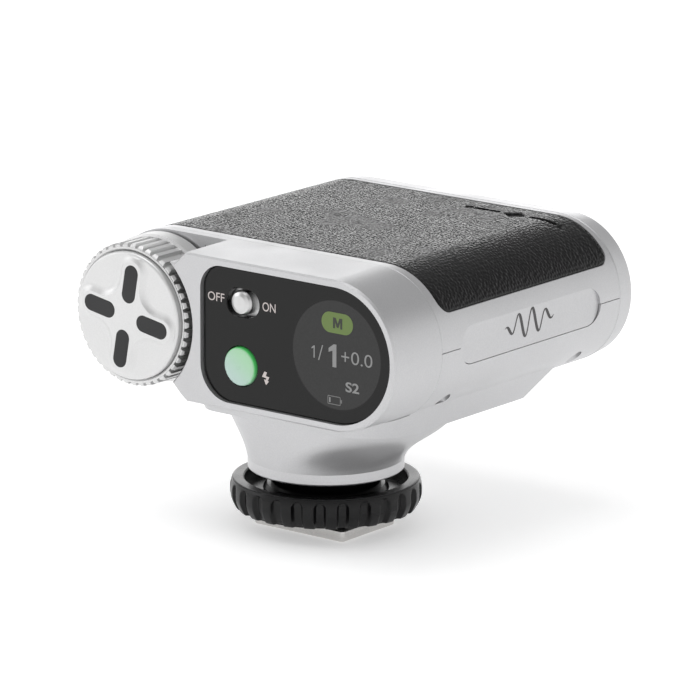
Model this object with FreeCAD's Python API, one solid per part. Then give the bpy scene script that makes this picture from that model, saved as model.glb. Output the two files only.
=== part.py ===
import FreeCAD, Part
import math
import os

# Compact on-camera flash.  Millimetres.
# +X: right as the user sees the display, +Y: away from the user, towards the
# flash window, +Z: up.  Origin: the underside of the shoe foot, on the axis of
# the lock ring and the centre contact.

V = FreeCAD.Vector

# ---- driving dimensions -------------------------------------------------
BODY_Z = 34.8          # height of the body's two end axes above the foot
X_DIAL = -24.9         # axis of the left end, and of the dial
X_DISP = 17.3          # axis of the right end, and of the round display
R_BODY = 12.5          # radius of the body's rounded ends
R_FACE = 12.25         # the display bezel narrows to this at the face
R_END = 12.05          # the window bezel narrows to this at the front
R_INNER = 10.5         # radius of the space inside the shells
Y_FACE = -20.0         # display face
Y_SEAM = -8.4          # display bezel meets the shells
Y_FAR = 39.8           # shells meet the window bezel
Y_END = 43.9           # front of the window bezel
SPLIT_GAP = 0.06       # half of the visible line between the two shells

GLASS_LEFT = -9.85     # left edge of the opening for the display glass
GLASS_R = 11.1         # half height of that opening
GLASS_Y = -19.3        # front of the glass
GLASS_BACK = -18.1
KNOB_X, KNOB_Z = -2.05, 40.3          # power switch
BUTTON_X, BUTTON_Z = -2.0, 29.95      # test button
BOARD_Y = -14.6        # front of the display board

LEATHER_Y0, LEATHER_Y1 = -6.6, 38.6
LEATHER_Z = 40.6       # lower edge of the leather on both ends
LEATHER_T = 0.8
TONGUE_R = 3.2         # rounded tongue of the top shell on the right side
TONGUE_Y0, TONGUE_Y1 = -3.3, 34.3
FLAT_X = 29.38         # flat that the tongue's outer face is cut to

BLOCK_Z = 19.75        # underside of the block below the shells
COLLAR_R = 12.75
COLLAR_Z0, COLLAR_Z1 = 9.76, 11.6

R_NOTCH = 13.2         # finger relief around the dial
Y_WALL = -9.7          # wall behind the dial
TEETH = 45

RING_R = 15.6
RING_Z0, RING_Z1 = 3.1, 8.2
FLUTES = 26
THREAD_R = 10.2
FOOT_W, FOOT_T = 18.6, 2.0
FOOT_Y0, FOOT_Y1 = -7.4, 10.6
NECK_W, NECK_L = 12.4, 14.0


# ---- helpers ------------------------------------------------------------
def box(x0, x1, y0, y1, z0, z1):
    return Part.makeBox(x1 - x0, y1 - y0, z1 - z0, V(x0, y0, z0))


def cyl_x(y, z, r, x0, x1):
    return Part.makeCylinder(r, x1 - x0, V(x0, y, z), V(1, 0, 0))


def cyl_y(x, z, r, y0, y1):
    return Part.makeCylinder(r, y1 - y0, V(x, y0, z), V(0, 1, 0))


def cyl_z(x, y, r, z0, z1):
    return Part.makeCylinder(r, z1 - z0, V(x, y, z0), V(0, 0, 1))


def prism(points, along):
    """Solid made by moving a closed polygon along a vector."""
    wire = Part.makePolygon([V(*p) for p in points + points[:1]])
    return Part.Face(wire).extrude(V(*along))


def turned(profile, centre, axis):
    """Solid of revolution of an (radius, height) outline about Z or Y."""
    if axis == "Z":
        pts = [V(r, 0, h) for r, h in profile]
        direction = V(0, 0, 1)
    else:
        pts = [V(r, h, 0) for r, h in profile]
        direction = V(0, 1, 0)
    solid = Part.Face(Part.makePolygon(pts + pts[:1])).revolve(V(0, 0, 0), direction, 360)
    solid.translate(V(*centre))
    return solid


def loop(a0, a1, b0, b1, radii, place):
    """Rounded rectangle; radii are for the corners (a0 b0), (a1 b0), (a1 b1), (a0 b1)."""
    corners = [(a0, b0, 1, 1), (a1, b0, -1, 1), (a1, b1, -1, -1), (a0, b1, 1, -1)]
    edges = []
    ends = []
    for (a, b, sa, sb), r in zip(corners, radii):
        centre = (a + sa * r, b + sb * r)
        mid = (centre[0] - sa * r * math.sqrt(0.5), centre[1] - sb * r * math.sqrt(0.5))
        flat_a = (a, centre[1])
        flat_b = (centre[0], b)
        first, last = (flat_a, flat_b) if sa == sb else (flat_b, flat_a)
        ends.append((first, mid, last))
    for i, (first, mid, last) in enumerate(ends):
        edges.append(Part.Arc(V(*place(*first)), V(*place(*mid)), V(*place(*last))).toShape())
        following = ends[(i + 1) % 4][0]
        if math.dist(last, following) > 1e-6:
            edges.append(Part.makeLine(V(*place(*last)), V(*place(*following))))
    return Part.Wire(edges)


def body_loop(r, y, left=X_DIAL, right=X_DISP):
    """Outline of the body at depth y: two half circles joined by flats."""
    return loop(left - r, right + r, BODY_Z - r, BODY_Z + r, [r - 1e-4] * 4, lambda a, b: (a, y, b))


def body(r, y0, y1, left=X_DIAL, right=X_DISP):
    return Part.Face(body_loop(r, y0, left, right)).extrude(V(0, y1 - y0, 0))


def body_taper(r0, y0, r1, y1):
    return Part.makeLoft([body_loop(r0, y0), body_loop(r1, y1)], True, True)


def glass_shape(inset, y0, y1):
    """Outline of the display glass: left corners rounded, right end a half circle."""
    r = GLASS_R - inset
    radii = [5.8 - inset, r - 1e-4, r - 1e-4, 4.2 - inset]
    wire = loop(GLASS_LEFT + inset, X_DISP + r, BODY_Z - r, BODY_Z + r, radii, lambda a, b: (a, y0, b))
    return Part.Face(wire).extrude(V(0, y1 - y0, 0))


def side_shape(y0, y1, z0, z1, r, x0, x1):
    """Rounded rectangle seen from the side, carried along X."""
    wire = loop(y0, y1, z0, z1, [r] * 4, lambda a, b: (x0, a, b))
    return Part.Face(wire).extrude(V(x1 - x0, 0, 0))


def front_shape(x0, x1, z0, z1, r, y0, y1):
    """Rounded rectangle seen from the front, carried along Y."""
    wire = loop(x0, x1, z0, z1, [r] * 4, lambda a, b: (a, y0, b))
    return Part.Face(wire).extrude(V(0, y1 - y0, 0))


def plan_shape(x0, x1, y0, y1, r, z0, z1):
    """Rounded rectangle seen from above, carried along Z."""
    wire = loop(x0, x1, y0, y1, [r] * 4, lambda a, b: (a, b, z0))
    return Part.Face(wire).extrude(V(0, 0, z1 - z0))


def ring_of(count, radius, centre, make):
    """Copies of one shape around Z through centre, as a list."""
    shapes = []
    for i in range(count):
        a = 2 * math.pi * (i + 0.5) / count
        shapes.append(make(centre[0] + radius * math.cos(a), centre[1] + radius * math.sin(a)))
    return shapes


def union(shapes):
    return shapes[0].multiFuse(shapes[1:]).removeSplitter()


def save(name, shape):
    shape.exportStep("parts/" + name + ".step")


# ---- casing: display bezel, shells, window bezel -------------------------
def notch():
    """Space for the dial: a round relief and bevelled corners above and below it."""
    dial_space = cyl_y(X_DIAL, BODY_Z, R_NOTCH, Y_FACE - 5, Y_WALL)
    left_of_it = box(-60, X_DIAL, Y_FACE - 5, Y_WALL, 10, 60)
    high = BODY_Z + 10.2
    top = prism([(-15.2, -25, high), (-12.5, -25, high + 2.4), (-12.5, -25, 60), (-60, -25, 60),
                 (-60, -25, high)], (0, 25 + Y_WALL, 0))
    low = BODY_Z - 9.6
    bottom = prism([(-15.9, -25, low), (-14.2, -25, low - 1.7), (-12.4, -25, low - 3.0), (-12.4, -25, 10),
                    (-60, -25, 10), (-60, -25, low)], (0, 25 + Y_WALL, 0))
    return union([dial_space, left_of_it, top, bottom])


def rear_bezel():
    outer = body_taper(R_FACE, Y_FACE, R_BODY, Y_SEAM)
    shape = outer.cut(notch())
    front = [e for e in shape.Edges if all(abs(v.Y - Y_FACE) < 1e-3 for v in e.Vertexes)]
    shape = shape.makeChamfer(0.3, front)
    shape = shape.cut(glass_shape(0.0, Y_FACE - 1, GLASS_BACK + 0.05))
    shape = shape.cut(glass_shape(1.0, GLASS_BACK, -17.0))
    shape = shape.cut(glass_shape(0.4, -17.1, Y_SEAM + 1))
    return shape.cut(cyl_y(X_DIAL, BODY_Z, 4.02, Y_WALL - 1, Y_SEAM + 1))


def shell_tube():
    """Both shells together, with small bevels at their ends."""
    bevel = 0.18
    parts = [body_taper(R_BODY - bevel, Y_SEAM, R_BODY, Y_SEAM + bevel),
             body(R_BODY, Y_SEAM + bevel, Y_FAR - bevel),
             body_taper(R_BODY, Y_FAR - bevel, R_BODY - bevel, Y_FAR)]
    return union(parts).cut(body(R_INNER, Y_SEAM - 1, Y_FAR + 1))


def tongue(grow):
    r = TONGUE_R + grow
    return side_shape(TONGUE_Y0 - grow, TONGUE_Y1 + grow, BODY_Z - r, BODY_Z + r, r - 1e-4, X_DISP + 5, 60)


def usb_hole():
    return side_shape(13.8, 23.2, 32.9, 36.7, 1.85, -60, -33.5)


BOSSES = [(25.35, -2.6), (25.35, 32.9), (-32.9, -1.8), (-32.9, 33.5)]
HOLE_R = 1.4


def leather_zone(depth):
    ring = body(R_BODY + 2, LEATHER_Y0, LEATHER_Y1).cut(body(R_BODY - depth, LEATHER_Y0 - 1, LEATHER_Y1 + 1))
    return ring.common(side_shape(LEATHER_Y0, LEATHER_Y1, LEATHER_Z, 70, 2.2, -60, 60))


def top_shell():
    half = box(-60, 60, Y_SEAM - 1, Y_FAR + 1, BODY_Z + SPLIT_GAP, 60)
    keep = union([half, tongue(-SPLIT_GAP)])
    shape = shell_tube().common(keep)
    flat = tongue(-SPLIT_GAP).common(box(FLAT_X, 60, -20, 60, 0, 60))
    shape = shape.cut(flat).cut(leather_zone(LEATHER_T)).cut(usb_hole())
    posts = []
    for x, y in BOSSES:
        post = cyl_z(x, y, 1.9, BODY_Z + SPLIT_GAP, 42.0).common(body(R_INNER + 0.3, Y_SEAM, Y_FAR))
        posts.append(post.cut(cyl_z(x, y, 0.8, BODY_Z - 1, BODY_Z + 4.0)))
    return union([shape] + posts)


def funnel():
    """Flared neck from the round collar up to the block, and the collar band."""
    def section(x0, x1, y0, y1, r, near_right, z):
        return loop(x0, x1, y0, y1, [r, near_right, r, r], lambda a, b: (a, b, z))
    c = COLLAR_R
    sections = [section(-c, c, -c, c, c - 0.05, c - 0.05, COLLAR_Z1),
                section(-13.2, 13.9, -13.0, 12.7, 12.8, 12.6, 13.4),
                section(-14.9, 18.9, -13.6, 12.8, 12.9, 11.2, 17.2),
                section(-15.9, 21.8, -14.0, 13.8, 12.6, 10.0, BLOCK_Z + 0.02)]
    neck = Part.makeLoft(sections, True, False)
    band = turned([(0, COLLAR_Z0), (c - 0.25, COLLAR_Z0), (c, COLLAR_Z0 + 0.25), (c, COLLAR_Z1),
                   (0, COLLAR_Z1)], (0, 0, 0), "Z")
    return union([neck, band])


def block():
    """Block below the shells: sides and far end slope out, the near right corner is round."""
    def outline(x0, x1, y0, y1, z):
        return loop(x0, x1, y0, y1, [4.0, 10.0, 0.3, 0.3], lambda a, b: (a, b, z))
    shape = Part.makeLoft([outline(-16.0, 21.8, -14.0, 24.4, BLOCK_Z),
                           outline(-18.6, 24.78, -14.86, 29.5, 24.85)], True, True)
    return shape.cut(body_taper(R_FACE + 0.06, Y_FACE, R_BODY + 0.06, Y_SEAM))


def bottom_shell():
    half = box(-60, 60, Y_SEAM - 1, Y_FAR + 1, 0, BODY_Z - SPLIT_GAP)
    tube = shell_tube().common(half)
    for x, y in BOSSES:
        post = cyl_z(x, y, 2.7, 24.0, BODY_Z - SPLIT_GAP).common(body(R_INNER + 0.3, Y_SEAM, Y_FAR))
        tube = tube.fuse(post).cut(cyl_z(x, y, HOLE_R, 10, 28.6)).cut(cyl_z(x, y, 1.05, 28, 40))
    tube = tube.cut(tongue(SPLIT_GAP)).cut(usb_hole())
    under = union([block(), funnel()])
    under = under.cut(body(R_INNER, Y_SEAM - 0.01, Y_FAR))
    under = under.cut(box(-14.2, 20.0, -11.8, 22.5, BLOCK_Z + 1.6, 27.0).cut(box(-60, 60, -30, Y_SEAM + 1.5, 21.0, 27)))
    cavity = turned([(0, 14.2), (9.6, 14.2), (11.5, BLOCK_Z + 2), (0, BLOCK_Z + 2)], (0, 0, 0), "Z")
    shape = union([tube, under]).cut(cavity)
    shape = shape.cut(cyl_z(0, 0, 8.0, 0, 12.6)).cut(cyl_z(0, 0, 3.0, 12, 15))
    for hole in ring_of(3, 5.6, (0, 0), lambda x, y: cyl_z(x, y, 1.0, 12, 15)):
        shape = shape.cut(hole)
    return shape


def shell_screws():
    """Four cross-head screws, driven up through the bottom shell."""
    screws = []
    for x, y in BOSSES:
        head = cyl_z(x, y, 1.25, 27.5, 28.6).cut(box(x - 0.8, x + 0.8, y - 0.2, y + 0.2, 27, 28.1))
        head = head.cut(box(x - 0.2, x + 0.2, y - 0.8, y + 0.8, 27, 28.1))
        screws.append(head.fuse(cyl_z(x, y, 0.8, 28.6, BODY_Z + 3.5)).removeSplitter())
    return Part.makeCompound(screws)


WINDOW = (-25.0, 12.0, BODY_Z - 9.1, BODY_Z + 9.1)


def front_bezel():
    bevel = 0.5
    parts = [body_taper(R_BODY - 0.18, Y_FAR, R_BODY, Y_FAR + 0.18),
             body_taper(R_BODY, Y_FAR + 0.18, R_END + 0.1, Y_END - bevel),
             body_taper(R_END + 0.1, Y_END - bevel, R_END - bevel + 0.1, Y_END)]
    shape = union(parts).cut(body(R_INNER, Y_FAR - 1, 41.4))
    x0, x1, z0, z1 = WINDOW
    shape = shape.cut(front_shape(x0, x1, z0, z1, 3.0, 41, 45))
    return shape.cut(cyl_y(20.6, BODY_Z, 2.6, 41, 45))


def leather_cover():
    skin = body(R_BODY + 0.02, LEATHER_Y0 + 0.05, LEATHER_Y1 - 0.05)
    skin = skin.cut(body(R_BODY - LEATHER_T, LEATHER_Y0 - 1, LEATHER_Y1 + 1))
    return skin.common(side_shape(LEATHER_Y0 + 0.05, LEATHER_Y1 - 0.05, LEATHER_Z + 0.05, 70, 2.15, -60, 60))


# ---- display face: glass, switch, test button ----------------------------
def display_glass():
    shape = glass_shape(0.06, GLASS_Y, GLASS_BACK)
    edge = [e for e in shape.Edges if all(abs(v.Y - GLASS_Y) < 1e-3 for v in e.Vertexes)]
    shape = shape.makeChamfer(0.18, edge)
    shape = shape.cut(front_shape(-5.0, 1.65, KNOB_Z - 2.27, KNOB_Z + 2.27, 2.2699, -20, -18))
    shape = shape.cut(cyl_y(BUTTON_X, BUTTON_Z, 3.28, -20, -18))
    rims = [e for e in shape.Edges if all(abs(v.Y - GLASS_Y) < 1e-3 for v in e.Vertexes)
            and e.BoundBox.XMin > -6.0 and e.BoundBox.XMax < 3.0]
    return shape.makeChamfer(0.13, rims)


def display_board():
    return glass_shape(0.8, BOARD_Y, BOARD_Y + 1.2)


def switch_knob():
    """Domed knob on a slider plate, with a peg that drives the switch."""
    dome = turned([(0, -19.85), (1.2, -19.72), (1.75, -19.45), (2.05, -19.0), (2.05, -17.8), (0, -17.8)],
                  (KNOB_X, 0, KNOB_Z), "Y")
    plate = box(KNOB_X - 4.6, KNOB_X + 4.6, -17.8, -17.1, KNOB_Z - 2.6, KNOB_Z + 2.6)
    peg = box(KNOB_X - 0.6, KNOB_X + 0.6, -17.1, -15.4, KNOB_Z - 0.6, KNOB_Z + 0.6)
    return union([dome, plate, peg])


def slide_switch():
    shape = box(-6.4, 3.1, -16.3, BOARD_Y, KNOB_Z - 2.1, KNOB_Z + 2.1)
    return shape.cut(box(-3.75, 0.45, -17, -15.1, KNOB_Z - 0.85, KNOB_Z + 0.85))


def test_button():
    cap = turned([(0, -19.95), (2.3, -19.93), (2.85, -19.85), (3.08, -19.68), (3.14, -19.4), (3.14, -17.8), (0, -17.8)],
                 (BUTTON_X, 0, BUTTON_Z), "Y")
    return union([cap, cyl_y(BUTTON_X, BUTTON_Z, 4.0, -17.8, -17.2)])


def tact_switch():
    shape = box(BUTTON_X - 3, BUTTON_X + 3, -16.3, BOARD_Y, BUTTON_Z - 3, BUTTON_Z + 3)
    return shape.cut(cyl_y(BUTTON_X, BUTTON_Z, 1.6, -17, BOARD_Y - 0.2))


# ---- dial ----------------------------------------------------------------
DIAL_TURN = -10.0       # the cross stands this many degrees off upright


def dial_knob():
    """Toothed rim with a plain band behind it, a web and a hub."""
    core = turned([(3.0, -18.4), (5.0, -18.4), (10.62, -18.4), (10.62, -19.1), (10.9, -19.4), (11.2, -19.4),
                   (11.2, -13.2), (11.75, -13.2), (12.2, -13.0), (12.2, -10.5), (12.0, -10.2), (10.3, -10.2),
                   (10.3, -16.9), (5.0, -16.9), (5.0, -12.0), (3.0, -12.0)], (X_DIAL, 0, BODY_Z), "Y")
    pitch = 2 * math.pi / TEETH
    teeth = []
    for i in range(TEETH):
        a = i * pitch
        outline = []
        for r, share in ((11.1, -0.36), (11.55, -0.3), (11.8, -0.2), (11.8, 0.2), (11.55, 0.3), (11.1, 0.36)):
            b = a + share * pitch
            outline.append((X_DIAL + r * math.cos(b), -19.3, BODY_Z + r * math.sin(b)))
        teeth.append(prism(outline, (0, 6.2, 0)))
    cone = turned([(0, -19.4), (11.4, -19.4), (11.9, -18.8), (11.9, -13.0), (0, -13.0)], (X_DIAL, 0, BODY_Z), "Y")
    ribs = Part.makeCompound([t.common(cone) for t in teeth])
    return core.fuse(ribs.Solids).removeSplitter()


def cross_face(arm, length, fillet, y):
    """Four-armed cross with rounded arm ends and hollow-curved corners, in the XZ plane."""
    hub = arm + fillet
    k = fillet * (1 - math.sqrt(0.5))
    edges = []
    turn = math.radians(DIAL_TURN)
    for q in range(4):
        a = turn + q * math.pi / 2
        c, s = math.cos(a), math.sin(a)

        def at(u, v):
            return V(X_DIAL + u * c - v * s, y, BODY_Z + u * s + v * c)
        tip = length - arm
        edges.append(Part.makeLine(at(hub, -arm), at(tip, -arm)))
        edges.append(Part.Arc(at(tip, -arm), at(length, 0), at(tip, arm)).toShape())
        edges.append(Part.makeLine(at(tip, arm), at(hub, arm)))
        edges.append(Part.Arc(at(hub, arm), at(arm + k, arm + k), at(arm, hub)).toShape())
    return Part.Face(Part.Wire(edges))


def pad_solids(grow, y0, y1):
    solids = []
    for q in range(4):
        pad = front_shape(2.3 - grow, 8.8 + grow, -1.42 - grow, 1.42 + grow, 1.4199 + grow, y0, y1)
        pad.rotate(V(0, 0, 0), V(0, -1, 0), DIAL_TURN + 90 * q)
        pad.translate(V(X_DIAL, 0, BODY_Z))
        solids.append(pad)
    return solids


def dial_cap():
    disc = turned([(0, -20.2), (10.0, -20.2), (10.35, -20.0), (10.55, -19.7), (10.55, -18.4), (0, -18.4)],
                  (X_DIAL, 0, BODY_Z), "Y")
    raised = cross_face(1.95, 9.5, 4.0, -20.8).extrude(V(0, 0.8, 0))
    shape = union([disc, raised])
    for pad in pad_solids(0.03, -21.0, -20.3):
        shape = shape.cut(pad)
    return shape


def dial_shaft():
    return union([cyl_y(X_DIAL, BODY_Z, 3.0, -18.4, -8.9), cyl_y(X_DIAL, BODY_Z, 2.5, -8.9, -4.4)])


def dial_encoder():
    shape = box(X_DIAL - 5.5, X_DIAL + 5.5, -8.3, -3.7, BODY_Z - 5.5, BODY_Z + 5.5)
    return shape.cut(cyl_y(X_DIAL, BODY_Z, 2.56, -9, -4.1))


def encoder_bushing():
    return cyl_y(X_DIAL, BODY_Z, 4.0, -11.6, -8.3).cut(cyl_y(X_DIAL, BODY_Z, 3.07, -12, -8))


def encoder_nut():
    hexagon = []
    for i in range(6):
        a = math.pi * (i + 0.5) / 3
        hexagon.append((X_DIAL + 5.9 * math.cos(a), -11.2, BODY_Z + 5.9 * math.sin(a)))
    return prism(hexagon, (0, 11.2 + Y_WALL, 0)).cut(cyl_y(X_DIAL, BODY_Z, 4.02, -12, -9))


# ---- flash head ------------------------------------------------------------
def fresnel_lens():
    """Window with vertical ribs on its inside, held by a flange behind the bezel."""
    x0, x1, z0, z1 = WINDOW
    pane = front_shape(x0 + 0.08, x1 - 0.08, z0 + 0.08, z1 - 0.08, 2.9, 41.3, 43.5)
    flange = front_shape(x0 - 0.9, x1 + 0.9, z0 - 0.9, z1 + 0.9, 3.5, 40.6, 41.3)
    return union([pane, flange])


TROUGH_Y, TROUGH_R = 36.6, 8.9


def reflector():
    """Trough behind the window with closed ends, pierced for the tube."""
    x0, x1 = -24.1, 11.1

    def trough(r, a, b, front):
        back = cyl_x(TROUGH_Y, BODY_Z, r, a, b).common(box(-60, 60, 0, TROUGH_Y, 0, 60))
        return union([back, box(a, b, TROUGH_Y, front, BODY_Z - r, BODY_Z + r)])
    shape = trough(TROUGH_R, x0, x1, 40.5).cut(trough(TROUGH_R - 0.5, x0 + 0.5, x1 - 0.5, 42))
    return shape.cut(cyl_x(TUBE_Y, BODY_Z, 2.2, -60, 60))


TUBE_Y = 31.6


def tube_sleeves():
    """Two rubber sleeves that carry the tube's ends in the reflector's end walls."""
    sleeves = []
    for x in (-27.1, 11.1 - 0.5):
        sleeve = cyl_x(TUBE_Y, BODY_Z, 2.15, x, x + 3.5)
        sleeves.append(sleeve.cut(cyl_x(TUBE_Y, BODY_Z, 1.55, -60, 60)))
    return Part.makeCompound(sleeves)


# ---- foot -------------------------------------------------------------------
def threaded_stem():
    neck = plan_shape(-NECK_W / 2, NECK_W / 2, -NECK_L / 2, NECK_L / 2, 1.0, FOOT_T, 5.0)
    disc = turned([(0, 4.9), (THREAD_R, 4.9), (THREAD_R, 6.5), (THREAD_R - 0.6, 7.1), (9.0, 7.1),
                   (9.0, COLLAR_Z0), (7.95, COLLAR_Z0), (7.95, 12.55), (0, 12.55)], (0, 0, 0), "Z")
    shape = union([neck, disc]).cut(cyl_z(0, 0, 2.55, 0, 20))
    for hole in ring_of(3, 5.6, (0, 0), lambda x, y: cyl_z(x, y, 0.9, 7.4, 20)):
        shape = shape.cut(hole)
    for x, y in FOOT_SCREWS:
        shape = shape.cut(cyl_z(x, y, 0.8, 0, 6.4))
    return shape


FOOT_SCREWS = [(sx * 4.4, sy * 5.1) for sx in (-1, 1) for sy in (-1, 1)]


def neck_screws():
    screws = []
    for x, y in [(5.6 * math.cos(a), 5.6 * math.sin(a)) for a in (math.pi / 3, math.pi, 5 * math.pi / 3)]:
        screws.append(union([cyl_z(x, y, 0.9, 7.6, 14.2), cyl_z(x, y, 1.7, 14.2, 15.3)]))
    return Part.makeCompound(screws)


def lock_ring():
    """Fluted ring, barrel-shaped outside, with a web that runs on the stem."""
    barrel = turned([(THREAD_R + 0.07, 3.6), (12.6, 3.6), (12.6, RING_Z0), (13.9, RING_Z0), (14.6, RING_Z0 + 0.35),
                     (15.2, RING_Z0 + 1.15), (RING_R, 5.5), (RING_R - 0.3, RING_Z1 - 0.7), (RING_R - 0.75, RING_Z1),
                     (13.5, RING_Z1), (13.3, RING_Z1 - 0.2), (13.3, 6.2), (THREAD_R + 0.07, 6.2)], (0, 0, 0), "Z")
    groove = 0.9
    flutes = ring_of(FLUTES, RING_R + 0.2, (0, 0), lambda x, y: cyl_z(x, y, groove, RING_Z0 - 1, RING_Z1 - 0.85))
    tips = ring_of(FLUTES, RING_R + 0.2, (0, 0), lambda x, y: Part.makeSphere(groove, V(x, y, RING_Z1 - 0.85)))
    return barrel.cut(Part.makeCompound(flutes)).cut(Part.makeCompound(tips))


def pressure_washer():
    """Keyed washer under the ring: it slides on the neck but can't turn."""
    hole = plan_shape(-NECK_W / 2 - 0.15, NECK_W / 2 + 0.15, -NECK_L / 2 - 0.15, NECK_L / 2 + 0.15, 1.0, 0, 9)
    return cyl_z(0, 0, 12.2, 2.75, 3.45).cut(hole)


def foot_plate():
    """Plate that slides into the camera's shoe; the leading corners are cut."""
    w = FOOT_W / 2
    outline = [(-w + 0.5, FOOT_Y0), (w - 0.5, FOOT_Y0), (w, FOOT_Y0 + 0.5), (w, 6.0), (w - 3.4, FOOT_Y1),
               (-w + 3.4, FOOT_Y1), (-w, 6.0), (-w, FOOT_Y0 + 0.5)]
    plate = prism([(x, y, 0) for x, y in outline], (0, 0, FOOT_T))
    flat = [e for e in plate.Edges if e.BoundBox.ZMax < 1e-6 or e.BoundBox.ZMin > FOOT_T - 1e-6]
    plate = plate.makeChamfer(0.25, flat)
    plate = plate.cut(box(-3.1, 3.1, -3.8, 3.8, -1, FOOT_T + 1))
    for x, y in FOOT_SCREWS:
        plate = plate.cut(cyl_z(x, y, 1.7, -1, 1.1)).cut(cyl_z(x, y, 0.95, 0, 3))
    return plate


def foot_screws():
    screws = []
    for x, y in FOOT_SCREWS:
        head = cyl_z(x, y, 1.6, 0.15, 1.1).cut(box(x - 1.1, x + 1.1, y - 0.22, y + 0.22, 0, 0.6))
        screws.append(union([head, cyl_z(x, y, 0.8, 1.1, 6.2)]))
    return Part.makeCompound(screws)


def contact_carrier():
    base = box(-3.05, 3.05, -3.75, 3.75, 0.2, FOOT_T)
    sleeve = cyl_z(0, 0, 2.5, FOOT_T, 7.4)
    shape = union([base, sleeve])
    return shape.cut(cyl_z(0, 0, 0.98, 0, 9)).cut(cyl_z(0, 0, 1.6, 1.7, 6.6))


def contact_pin():
    return turned([(0, 0.0), (0.6, 0.0), (0.9, 0.3), (0.9, 2.1), (1.5, 2.1), (1.5, 2.7), (0.9, 2.7),
                   (0.9, 7.6), (0, 7.6)], (0, 0, 0), "Z")


def contact_spring():
    """Coil around the pin, between its shoulder and the top of the chamber: a wire of short straight facets."""
    turns, steps, sides, wire_r, coil_r = 5.6, 84, 6, 0.13, 1.25
    rings = []
    for i in range(steps + 1):
        a = 2 * math.pi * turns * i / steps
        z = 2.95 + 3.4 * i / steps
        ring = []
        for k in range(sides):
            b = 2 * math.pi * k / sides
            r = coil_r + wire_r * math.cos(b)
            ring.append(V(r * math.cos(a), r * math.sin(a), z + wire_r * math.sin(b)))
        rings.append(ring)
    faces = [Part.Face(Part.makePolygon([rings[0][k] for k in range(sides)] + [rings[0][0]])),
             Part.Face(Part.makePolygon([rings[-1][k] for k in range(sides)] + [rings[-1][0]]))]
    for first, second in zip(rings, rings[1:]):
        for k in range(sides):
            n = (k + 1) % sides
            faces.append(Part.Face(Part.makePolygon([first[k], first[n], second[n], first[k]])))
            faces.append(Part.Face(Part.makePolygon([first[k], second[n], second[k], first[k]])))
    solid = Part.Solid(Part.makeShell(faces))
    if solid.Volume < 0:
        solid.reverse()
    return solid


def usb_socket():
    shell = side_shape(14.0, 23.0, 33.1, 36.5, 1.6, -36.9, -29.6)
    mouth = side_shape(14.3, 22.7, 33.4, 36.2, 1.35, -37.5, -30.4)
    blade = box(-36.2, -30.3, 15.1, 21.9, 34.45, 35.15)
    return union([shell.cut(mouth), blade])


NODES = {
    "rear_bezel": rear_bezel,
    "top_shell": top_shell,
    "bottom_shell": bottom_shell,
    "front_bezel": front_bezel,
    "leather_cover": leather_cover,
    "shell_screws": shell_screws,
    "display_glass": display_glass,
    "display_module": lambda: cyl_y(X_DISP, BODY_Z, 9.6, -17.9, BOARD_Y),
    "display_board": display_board,
    "switch_knob": switch_knob,
    "slide_switch": slide_switch,
    "test_button": test_button,
    "tact_plunger": lambda: cyl_y(BUTTON_X, BUTTON_Z, 1.5, -17.2, -15.5),
    "tact_switch": tact_switch,
    "status_led": lambda: box(-7.9, -6.7, -15.5, BOARD_Y, 31.0, 32.6),
    "dial_knob": dial_knob,
    "dial_cap": dial_cap,
    "dial_pads": lambda: Part.makeCompound(pad_solids(0.0, -20.8, -20.3)),
    "dial_shaft": dial_shaft,
    "dial_encoder": dial_encoder,
    "encoder_bushing": encoder_bushing,
    "encoder_nut": encoder_nut,
    "fresnel_lens": fresnel_lens,
    "reflector": reflector,
    "flash_tube": lambda: cyl_x(TUBE_Y, BODY_Z, 1.5, -28.4, 15.4),
    "tube_sleeves": tube_sleeves,
    "sensor_window": lambda: cyl_y(20.6, BODY_Z, 2.55, 41.4, 43.6),
    "photodiode": lambda: box(18.6, 22.6, 39.2, 40.8, BODY_Z - 2, BODY_Z + 2),
    "main_capacitor": lambda: cyl_x(17.3, BODY_Z, 8.2, -22.0, 12.0),
    "trigger_transformer": lambda: cyl_z(18.9, 17.3, 3.2, 30.0, 39.0),
    "main_board": lambda: box(-26.0, 21.0, 6.2, 7.4, BODY_Z - 9.2, BODY_Z + 9.2),
    "battery": lambda: front_shape(-18.4, 20.6, BODY_Z - 9.1, BODY_Z + 9.1, 1.5, -5.6, 5.2),
    "power_board": lambda: box(-34.2, -23.2, 12.0, 25.0, 32.0, 33.0),
    "usb_socket": usb_socket,
    "threaded_stem": threaded_stem,
    "neck_screws": neck_screws,
    "lock_ring": lock_ring,
    "pressure_washer": pressure_washer,
    "foot_plate": foot_plate,
    "foot_screws": foot_screws,
    "contact_carrier": contact_carrier,
    "contact_pin": contact_pin,
    "contact_spring": contact_spring,
}

os.makedirs("parts", exist_ok=True)
for node, make in NODES.items():
    save(node, make())
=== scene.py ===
# %% [markdown]
# # A compact on-camera flash, dressed for its portrait
# The mechanical model gives every part its true size and place, in metres: +X is to the right as the
# user looks at the display, +Y points away from the user towards the flash window, +Z is up, and the
# origin is under the shoe foot. This file only adds looks. It gives each carried-over part a material,
# and works out new surfaces with numpy where the real thing is softer or finer than a machine drawing:
# the grained leather cover, the moulded dial cap with its soft cross, the rubber pads, the printed
# marks and the fluted lock ring.

# %% Load the mechanical model
import math

import bpy
import numpy as np
from mathutils import Matrix, Vector


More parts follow.
